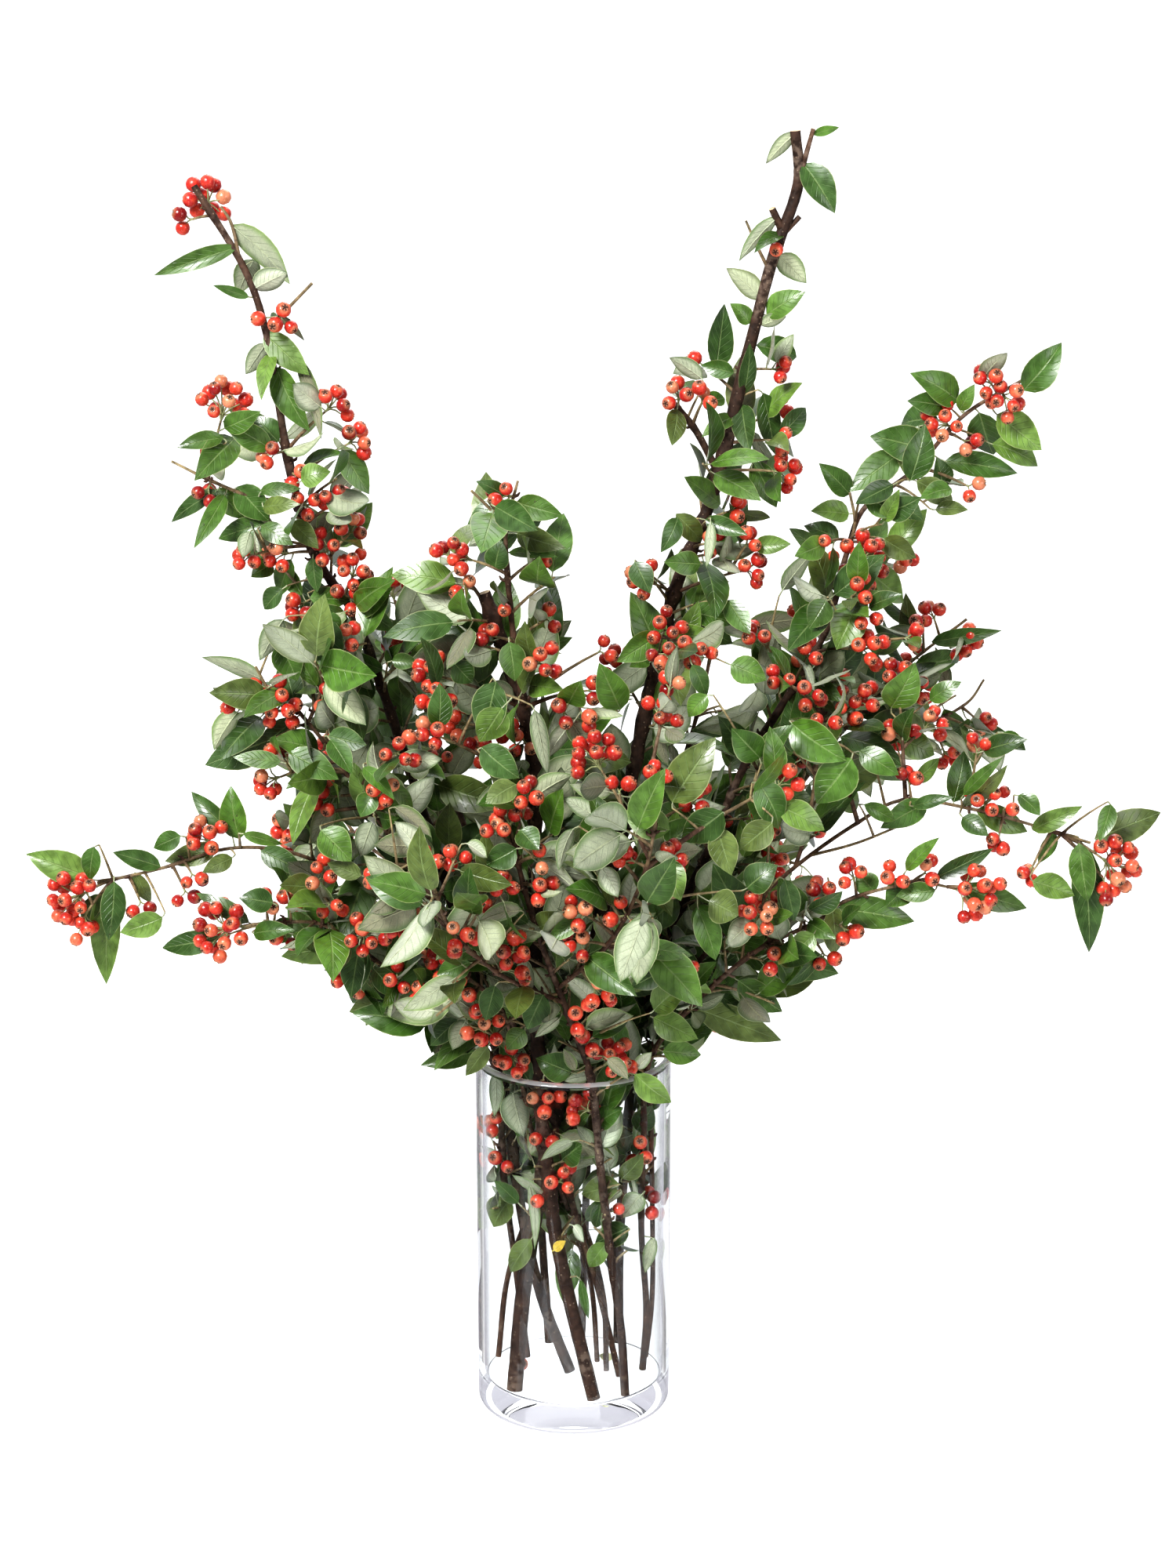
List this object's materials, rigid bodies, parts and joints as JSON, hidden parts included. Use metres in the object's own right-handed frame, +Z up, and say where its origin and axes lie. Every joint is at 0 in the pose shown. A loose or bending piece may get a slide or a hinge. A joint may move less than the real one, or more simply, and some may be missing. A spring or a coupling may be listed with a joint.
{
  "type": "flowering branches in vase",
  "caption": "Cut cotoneaster branches with leaves and red berries standing in a clear straight glass cylinder vase.",
  "frame": {"origin": "centre of the vase's flat underside, where it rests", "axes": "+Z up along the vase, +X to the right and -Y to the front as the picture shows it"},
  "size_m": [0.5899, 0.3431, 0.6857],
  "materials": {
    "glass": "clear, smooth, polished rim",
    "foliage": "glossy green leaf tops, felted grey-green undersides",
    "bark": "matte brown bark with pale lenticels",
    "berry": "satin red skin with a dark calyx"
  },
  "bodies": {
    "root": {"vase": "glass", "branch_left_tall": "foliage", "branch_right_tall": "foliage", "branch_right_mid": "foliage", "branch_centre": "foliage", "branch_left_mid": "foliage", "branch_left_arm": "foliage", "branch_left_low": "foliage", "branch_right_arm": "foliage", "branch_right_low": "foliage", "branch_right_back": "foliage", "branch_front": "foliage", "branch_short": "foliage", "branch_back_left": "foliage", "branch_back_right": "foliage"}
  },
  "joints": []
}
